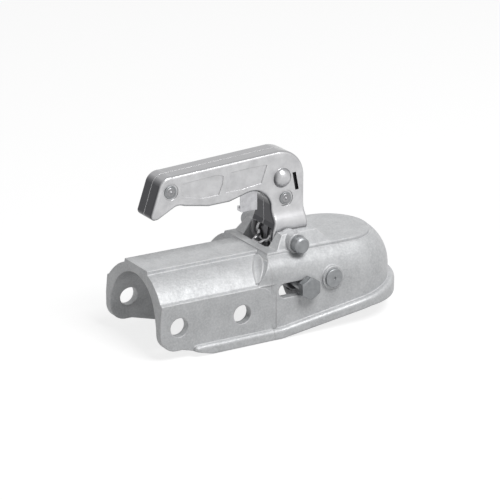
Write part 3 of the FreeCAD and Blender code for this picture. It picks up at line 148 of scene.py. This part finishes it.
class StudioSetup(bpy.types.PropertyGroup):
    """Camera, floor, lamp and room."""
    eye: FloatVectorProperty(name="Eye", description="Place of the camera", subtype="TRANSLATION", size=3,
                             default=(-0.8284, -1.2928, 0.5530))
    target: FloatVectorProperty(name="Target", description="Point in the middle of the picture",
                                subtype="TRANSLATION", size=3, default=(-0.05773, 0.0, 0.02711))
    lens: FloatProperty(name="Lens", description="Focal length on a 36 mm frame", default=180.2, min=10.0)
    floor: FloatVectorProperty(name="Floor", description="Colour of the floor", subtype="COLOR", size=3,
                               min=0.0, max=1.0, default=(0.30, 0.30, 0.30))
    glow: FloatProperty(name="Floor glow", description="Level that lifts the floor to white in the picture",
                        default=0.80, min=0.0)
    key: FloatProperty(name="Key lamp", description="Power of the large lamp", subtype="POWER",
                       unit="POWER", default=35.0)
    key_place: FloatVectorProperty(name="Key place", description="Place of the large lamp",
                                   subtype="TRANSLATION", size=3, default=(0.20, -1.15, 1.85))
    key_aim: FloatVectorProperty(name="Key aim", description="Point that the large lamp looks at",
                                 subtype="TRANSLATION", size=3, default=(-0.05, 0.0, 0.03))
    key_size: FloatProperty(name="Key size", description="Side of the large lamp", subtype="DISTANCE",
                            unit="LENGTH", default=1.0)
    sky: FloatProperty(name="Room light", description="Level of the room's own light", default=0.20,
                       min=0.0)


def link(tree, source, target):
    tree.links.new(source, target)


def add_node(tree, kind, **values):
    made = tree.nodes.new(kind)
    for key, value in values.items():
        setattr(made, key, value)
    return made


def noise(tree, coords, size, detail=4.0, rough=0.55):
    """Noise whose features are about size metres wide."""
    made = add_node(tree, "ShaderNodeTexNoise")
    made.inputs["Scale"].default_value = 1.0 / size
    made.inputs["Detail"].default_value = detail
    made.inputs["Roughness"].default_value = rough
    link(tree, coords.outputs["Object"], made.inputs["Vector"])
    return made.outputs["Fac"]


def spread(tree, value, low, high, to_low=0.0, to_high=1.0):
    made = add_node(tree, "ShaderNodeMapRange")
    made.inputs["From Min"].default_value = low
    made.inputs["From Max"].default_value = high
    made.inputs["To Min"].default_value = to_low
    made.inputs["To Max"].default_value = to_high
    link(tree, value, made.inputs["Value"])
    return made.outputs["Result"]


def blend_colour(tree, fac, first, second):
    """A mix of two colours, each a colour or another node's output."""
    made = add_node(tree, "ShaderNodeMix", data_type="RGBA")
    link(tree, fac, made.inputs["Factor"])
    for socket, colour in ((made.inputs["A"], first), (made.inputs["B"], second)):
        if isinstance(colour, bpy.types.NodeSocket):
            link(tree, colour, socket)
        else:
            socket.default_value = (*colour, 1.0)
    return made.outputs["Result"]


def bump(tree, height, distance, strength, normal):
    """Relief of a height in metres laid over a normal."""
    made = add_node(tree, "ShaderNodeBump")
    made.inputs["Strength"].default_value = strength
    made.inputs["Distance"].default_value = distance
    link(tree, height, made.inputs["Height"])
    link(tree, normal, made.inputs["Normal"])
    return made.outputs["Normal"]


def edge_wear(tree, radius):
    """How near a point is to an edge, and the normal with that edge rounded."""
    soft = add_node(tree, "ShaderNodeBevel", samples=6)
    soft.inputs["Radius"].default_value = radius
    true = add_node(tree, "ShaderNodeNewGeometry")
    dot = add_node(tree, "ShaderNodeVectorMath", operation="DOT_PRODUCT")
    link(tree, soft.outputs["Normal"], dot.inputs[0])
    link(tree, true.outputs["Normal"], dot.inputs[1])
    return spread(tree, dot.outputs["Value"], 1.0, 0.86), soft.outputs["Normal"]


def new_material(name):
    made = bpy.data.materials.new(name)
    made.use_nodes = True
    tree = made.node_tree
    shader = tree.nodes["Principled BSDF"]
    coords = add_node(tree, "ShaderNodeTexCoord")
    return made, tree, shader, coords


def cast_zinc(look):
    """Matt zinc over a sand-cast skin, brighter where edges are rubbed."""
    made, tree, shader, coords = new_material("cast_zinc")
    shader.inputs["Metallic"].default_value = 0.24
    near, normal = edge_wear(tree, look.rounding)
    cloud = spread(tree, noise(tree, coords, look.patch, detail=6.0, rough=0.62), 0.38, 0.62)
    flecks = noise(tree, coords, look.grain * 2.2, detail=3.0, rough=0.6)
    base = blend_colour(tree, cloud, look.shade, look.zinc)
    flecked = blend_colour(tree, spread(tree, flecks, 0.40, 0.66, 0.0, 0.35), base, look.worn)
    rubbed = blend_colour(tree, spread(tree, near, 0.0, 1.0, 0.0, 0.6), flecked, look.worn)
    link(tree, rubbed, shader.inputs["Base Color"])
    link(tree, spread(tree, noise(tree, coords, 0.004), 0.3, 0.7, 0.32, 0.48), shader.inputs["Roughness"])
    skin = bump(tree, noise(tree, coords, look.grain, detail=4.0, rough=0.65), 0.00025, 0.45, normal)
    swell = bump(tree, noise(tree, coords, 0.006, detail=3.0, rough=0.5), 0.0008, 0.40, skin)
    link(tree, swell, shader.inputs["Normal"])
    return made


def plated_sheet(look):
    """Bright zinc plating, hazy on the flat sides and glassy on the drawn walls; the walls carry a painted
    dark reflection, darkest where they face the grip's end.
    """
    made, tree, shader, coords = new_material("bright_plating")
    shader.inputs["Metallic"].default_value = 0.85
    near, normal = edge_wear(tree, look.rounding)
    # Painted dark reflection: by the way a face turns, the flat sides keep the plating and the walls round
    # them are darkened, most where they face the grip's end.
    facing = add_node(tree, "ShaderNodeSeparateXYZ")
    link(tree, coords.outputs["Normal"], facing.inputs["Vector"])
    across = add_node(tree, "ShaderNodeMath", operation="ABSOLUTE")
    link(tree, facing.outputs["Y"], across.inputs[0])
    side = spread(tree, across.outputs["Value"], 0.62, 0.93)
    rear = spread(tree, facing.outputs["X"], -0.55, -0.90)
    haze = spread(tree, noise(tree, coords, look.patch, detail=5.0, rough=0.6), 0.35, 0.65)
    flat = blend_colour(tree, haze, look.haze, look.plating)
    # Painted dark reflection on the drawn walls, near black on those that face the grip's end.
    drawn = blend_colour(tree, rear, look.painted_wall_reflection, look.end)
    base = blend_colour(tree, side, drawn, flat)
    # Near the edges the colour goes toward the bright plating, so the painted dark reflection stops short of
    # the edges.
    rubbed = blend_colour(tree, spread(tree, near, 0.0, 1.0, 0.0, 0.8), base, look.plating)
    link(tree, rubbed, shader.inputs["Base Color"])
    marks = add_node(tree, "ShaderNodeMapping")
    marks.inputs["Scale"].default_value = (1.0, 1.0, 0.06)
    link(tree, coords.outputs["Object"], marks.inputs["Vector"])
    streak = add_node(tree, "ShaderNodeTexNoise")
    streak.inputs["Scale"].default_value = 1800.0
    streak.inputs["Detail"].default_value = 3.0
    link(tree, marks.outputs["Vector"], streak.inputs["Vector"])
    dull = spread(tree, streak.outputs["Fac"], 0.3, 0.7, 0.36, 0.52)
    glassy = add_node(tree, "ShaderNodeMix", data_type="FLOAT")
    glassy.inputs["A"].default_value = 0.14
    link(tree, side, glassy.inputs["Factor"])
    link(tree, dull, glassy.inputs["B"])
    link(tree, glassy.outputs["Result"], shader.inputs["Roughness"])
    wave = bump(tree, noise(tree, coords, 0.010, detail=2.0, rough=0.5), 0.0004, 0.12, normal)
    link(tree, wave, shader.inputs["Normal"])
    return made


def turned_steel(name, colour, metallic=0.8, rough=(0.32, 0.5), radius=0.0003):
    """Steel with a mottled plating and softened edges."""
    made, tree, shader, coords = new_material(name)
    shader.inputs["Metallic"].default_value = metallic
    near, normal = edge_wear(tree, radius)
    patch = spread(tree, noise(tree, coords, 0.003, rough=0.6), 0.35, 0.65)
    dull = tuple(channel * 0.78 for channel in colour)
    bright = tuple(min(channel * 1.45 + 0.05, 1.0) for channel in colour)
    base = blend_colour(tree, patch, dull, tuple(colour))
    rubbed = blend_colour(tree, spread(tree, near, 0.0, 1.0, 0.0, 0.7), base, bright)
    link(tree, rubbed, shader.inputs["Base Color"])
    link(tree, spread(tree, noise(tree, coords, 0.0015, detail=3.0), 0.3, 0.7, *rough),
         shader.inputs["Roughness"])
    skin = bump(tree, noise(tree, coords, 0.0004, detail=3.0), 0.0001, 0.15, normal)
    link(tree, skin, shader.inputs["Normal"])
    return made


def new_piece(name, form, material):
    """A piece made from a bmesh, placed by its mesh, with its finish."""
    mesh = bpy.data.meshes.new(name)
    form.to_mesh(mesh)
    form.free()
    piece = bpy.data.objects.new(name, mesh)
    bpy.context.scene.collection.objects.link(piece)
    piece.data.materials.append(material)
    return piece


def give(nodes, material):
    """Put one finish on CAD nodes."""
    for name in nodes:
        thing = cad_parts[name]
        thing.data.materials.clear()
        thing.data.materials.append(material)


class COUPLING_OT_castings(bpy.types.Operator):
    """Zinc skin on the housing and dull iron on the jaw"""
    bl_idname = "coupling.castings"
    bl_label = "Finish castings"

    def execute(self, context):
        look = context.scene.casting_look
        give(CASTINGS, cast_zinc(look))
        jaw = context.scene.steel_look.jaw
        give(("ball_jaw",), turned_steel("jaw_iron", jaw, metallic=0.5, rough=(0.5, 0.7), radius=0.0006))
        return {"FINISHED"}


class COUPLING_OT_sheets(bpy.types.Operator):
    """Bright plating on the handle's shells and the catch"""
    bl_idname = "coupling.sheets"
    bl_label = "Finish sheet parts"

    def execute(self, context):
        look = context.scene.sheet_look
        give(HANDLE_SHEETS, plated_sheet(look))
        give(("safety_catch",), turned_steel("catch_plating", look.catch, metallic=0.9, rough=(0.26, 0.42)))
        return {"FINISHED"}


def step_plane(height):
    """How far along X the slanted step lies at a height."""
    rise = (height - STEP_FOOT.y) / (STEP_KNEE.y - STEP_FOOT.y)
    return STEP_FOOT.x + rise * (STEP_KNEE.x - STEP_FOOT.x)


def web_section(angle, reach, count):
    """Closed outline of the cast web at one angle round the tail's shoulder.

    Its hollow face runs from the shoulder up to the step, and its hidden corner lies in the casting."""
    outward = Vector((0.0, math.cos(angle), math.sin(angle)))
    root = SHOULDER_MIDDLE + outward * SHOULDER_RADIUS
    root.x = step_plane(root.z)
    rear = root + Vector((-reach * 1.3, 0.0, 0.0)) - outward * SINK
    top = root + outward * reach
    top.x = step_plane(top.z) + SINK
    points = []
    for step in range(count):
        along = step / (count - 1)
        points.append(rear * (1 - along) ** 2 + root * 2 * along * (1 - along) + top * along ** 2)
    points.append(root - outward * SINK * 2 + Vector((SINK * 2, 0.0, 0.0)))
    return points + points[:1]


class COUPLING_OT_shoulder_webs(bpy.types.Operator):
    """Soft cast webs between the tail's shoulders and the slanted step"""
    bl_idname = "coupling.shoulder_webs"
    bl_label = "Shoulder webs"

    def execute(self, context):
        look = context.scene.casting_look
        rows, count = 18, 8
        columns = count + 1
        sections = []
        for row in range(rows + 1):
            along = row / rows
            reach = look.web_end + (look.web_middle - look.web_end) * math.sin(math.pi * along)
            sections.append(web_section(WEB_START + (WEB_END - WEB_START) * along, reach, count))
        for side, word in ((1, "left"), (-1, "right")):
            form = bmesh.new()
            bmesh.ops.create_grid(form, x_segments=columns, y_segments=rows, size=1.0)
            for vert in form.verts:
                row = round((vert.co.y + 1) / 2 * rows)
                point = sections[row][round((vert.co.x + 1) / 2 * columns)]
                vert.co = Vector((point.x, point.y * side, point.z))
            bmesh.ops.remove_doubles(form, verts=form.verts, dist=1e-7)
            bmesh.ops.holes_fill(form, edges=form.edges, sides=columns + 1)
            bmesh.ops.recalc_face_normals(form, faces=form.faces)
            for face in form.faces:
                face.smooth = True
            piece = new_piece("shoulder_web_%s" % word, form, bpy.data.materials["cast_zinc"])
            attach(piece, "housing")
        return {"FINISHED"}


def turned_face(name, middle, side, profile, finish):
    """A round relief on a face that looks along Y, spun from its profile of radius and height."""
    form = bmesh.new()
    line = [form.verts.new((middle[0] + radius, middle[1] + side * height, middle[2]))
            for radius, height in profile]
    edges = [form.edges.new(pair) for pair in zip(line, line[1:])]
    bmesh.ops.spin(form, geom=line + edges, cent=middle, axis=(0.0, 1.0, 0.0), angle=math.tau, steps=48,
                   use_merge=True)
    bmesh.ops.remove_doubles(form, verts=form.verts, dist=1e-6)
    bmesh.ops.recalc_face_normals(form, faces=form.faces)
    if sum(face.normal.y for face in form.faces) * side < 0:
        bmesh.ops.reverse_faces(form, faces=form.faces)
    for face in form.faces:
        face.smooth = True
    return new_piece(name, form, finish)


class COUPLING_OT_rivet_faces(bpy.types.Operator):
    """Rolled ring and centre left by the riveting tool on each rivet head"""
    bl_idname = "coupling.rivet_faces"
    bl_label = "Rivet faces"

    def execute(self, context):
        look = context.scene.steel_look
        finish = turned_steel("rolled_steel", look.rolled, metallic=0.85, rough=(0.28, 0.42), radius=0.0002)
        profile = [(radius * look.ring, height * look.ring) for radius, height in RIVET_PROFILE]
        for node in ("nose_rivet", "neck_rivet"):
            low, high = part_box(node)
            for side, word, face in ((-1, "right", low[1]), (1, "left", high[1])):
                middle = ((low[0] + high[0]) / 2, face, (low[2] + high[2]) / 2)
                piece = turned_face("%s_face_%s" % (node, word), middle, side, profile, finish)
                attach(piece, "handle")
        return {"FINISHED"}


class COUPLING_OT_steel(bpy.types.Operator):
    """Finishes of bolts, pins, springs and inner steel"""
    bl_idname = "coupling.steel"
    bl_label = "Finish steel parts"

    def execute(self, context):
        look = context.scene.steel_look
        give(BOLT_PIECES, turned_steel("bolt_plating", look.bolt))
        give(PINS, turned_steel("pin_plating", look.pin))
        give(INNER_STEEL, turned_steel("inner_steel", look.inner, metallic=0.7, rough=(0.4, 0.6)))
        give(SPRINGS, turned_steel("spring_wire", look.wire, metallic=0.9, rough=(0.25, 0.4)))
        dark, tree, shader, coords = new_material("indicator_black")
        link(tree, blend_colour(tree, noise(tree, coords, 0.002), look.indicator, (0.03, 0.03, 0.033)),
             shader.inputs["Base Color"])
        shader.inputs["Roughness"].default_value = 0.6
        give(("indicator_plate",), dark)
        return {"FINISHED"}


def seen_directly(tree):
    """1 for rays from the camera, off shiny metal or through a gap, else 0."""
    rays = add_node(tree, "ShaderNodeLightPath")
    seen = rays.outputs["Is Camera Ray"]
    for kind in ("Is Glossy Ray", "Is Transmission Ray"):
        either = add_node(tree, "ShaderNodeMath", operation="MAXIMUM")
        link(tree, seen, either.inputs[0])
        link(tree, rays.outputs[kind], either.inputs[1])
        seen = either.outputs["Value"]
    return seen


def pale_floor(colour, glow_level):
    """Floor that shows white to the camera and keeps the object's shadow."""
    made = bpy.data.materials.new("pale_floor")
    made.use_nodes = True
    tree = made.node_tree
    tree.nodes.clear()
    out = add_node(tree, "ShaderNodeOutputMaterial")
    matt = add_node(tree, "ShaderNodeBsdfDiffuse")
    matt.inputs["Color"].default_value = (*colour, 1.0)
    level = add_node(tree, "ShaderNodeMath", operation="MULTIPLY")
    level.inputs[1].default_value = glow_level
    link(tree, seen_directly(tree), level.inputs[0])
    glow = add_node(tree, "ShaderNodeEmission")
    glow.inputs["Color"].default_value = (1.0, 1.0, 1.0, 1.0)
    link(tree, level.outputs["Value"], glow.inputs["Strength"])
    both = add_node(tree, "ShaderNodeAddShader")
    link(tree, matt.outputs["BSDF"], both.inputs[0])
    link(tree, glow.outputs["Emission"], both.inputs[1])
    link(tree, both.outputs["Shader"], out.inputs["Surface"])
    return made


def studio_room(level):
    """White room that lights the object softly and is white behind it."""
    world = bpy.data.worlds.new("studio_room")
    world.use_nodes = True
    tree = world.node_tree
    tree.nodes.clear()
    out = add_node(tree, "ShaderNodeOutputWorld")
    mix = add_node(tree, "ShaderNodeMixShader")
    link(tree, seen_directly(tree), mix.inputs["Fac"])
    for strength, socket in ((level, mix.inputs[1]), (1.0, mix.inputs[2])):
        light = add_node(tree, "ShaderNodeBackground")
        light.inputs["Color"].default_value = (1.0, 1.0, 1.0, 1.0)
        light.inputs["Strength"].default_value = strength
        link(tree, light.outputs["Background"], socket)
    link(tree, mix.outputs["Shader"], out.inputs["Surface"])
    return world


def aimed(name, data, place, aim):
    """A lamp or camera at a place, looking at a point."""
    made = bpy.data.objects.new(name, data)
    bpy.context.scene.collection.objects.link(made)
    made.location = place
    made.rotation_euler = (Vector(aim) - Vector(place)).to_track_quat("-Z", "Y").to_euler()
    return made


class COUPLING_OT_stage(bpy.types.Operator):
    """Pale floor, large lamp, white room and the camera"""
    bl_idname = "coupling.stage"
    bl_label = "Set the stage"

    def execute(self, context):
        setup = context.scene.studio_setup
        scene = context.scene
        scene.view_settings.view_transform = "Standard"
        form = bmesh.new()
        bmesh.ops.create_grid(form, x_segments=2, y_segments=2, size=6.0)
        bmesh.ops.translate(form, verts=form.verts, vec=(0.0, 0.0, CAD_BOX[0].z - SINK))
        new_piece("studio_floor", form, pale_floor(setup.floor, setup.glow))
        lamp = bpy.data.lights.new("key_lamp", "AREA")
        lamp.shape = "SQUARE"
        lamp.size = setup.key_size
        lamp.energy = setup.key
        aimed("key_lamp", lamp, setup.key_place, setup.key_aim)
        scene.world = studio_room(setup.sky)
        lens = bpy.data.cameras.new("photo_camera")
        lens.lens = setup.lens
        lens.sensor_width = 36.0
        lens.clip_end = 50.0
        scene.camera = aimed("photo_camera", lens, setup.eye, setup.target)
        return {"FINISHED"}


class COUPLING_PT_sidebar(bpy.types.Panel):
    """Lists the finishing steps and their sizes and colours"""
    bl_label = "Coupling head"
    bl_space_type = "VIEW_3D"
    bl_region_type = "UI"
    bl_category = "Coupling"

    def draw(self, context):
        layout = self.layout
        for operator in OPERATORS:
            layout.operator(operator.bl_idname)
        for group in (context.scene.casting_look, context.scene.sheet_look, context.scene.steel_look,
                      context.scene.studio_setup):
            box = layout.box()
            for prop in group.bl_rna.properties:
                if prop.identifier not in ("rna_type", "name"):
                    box.prop(group, prop.identifier)


GROUPS = (
    ("casting_look", CastingLook),
    ("sheet_look", SheetLook),
    ("steel_look", SteelLook),
    ("studio_setup", StudioSetup),
)
OPERATORS = (COUPLING_OT_castings, COUPLING_OT_shoulder_webs, COUPLING_OT_sheets, COUPLING_OT_steel,
             COUPLING_OT_rivet_faces, COUPLING_OT_stage)


def register():
    for name, group in GROUPS:
        bpy.utils.register_class(group)
        setattr(bpy.types.Scene, name, PointerProperty(type=group))
    for operator in OPERATORS:
        bpy.utils.register_class(operator)
    bpy.utils.register_class(COUPLING_PT_sidebar)


def unregister():
    bpy.utils.unregister_class(COUPLING_PT_sidebar)
    for operator in reversed(OPERATORS):
        bpy.utils.unregister_class(operator)
    for name, group in reversed(GROUPS):
        delattr(bpy.types.Scene, name)
        bpy.utils.unregister_class(group)


def main():
    register()
    bpy.ops.coupling.castings()
    bpy.ops.coupling.shoulder_webs()
    bpy.ops.coupling.sheets()
    bpy.ops.coupling.steel()
    bpy.ops.coupling.rivet_faces()
    bpy.ops.coupling.stage()


if __name__ == "__main__":
    main()
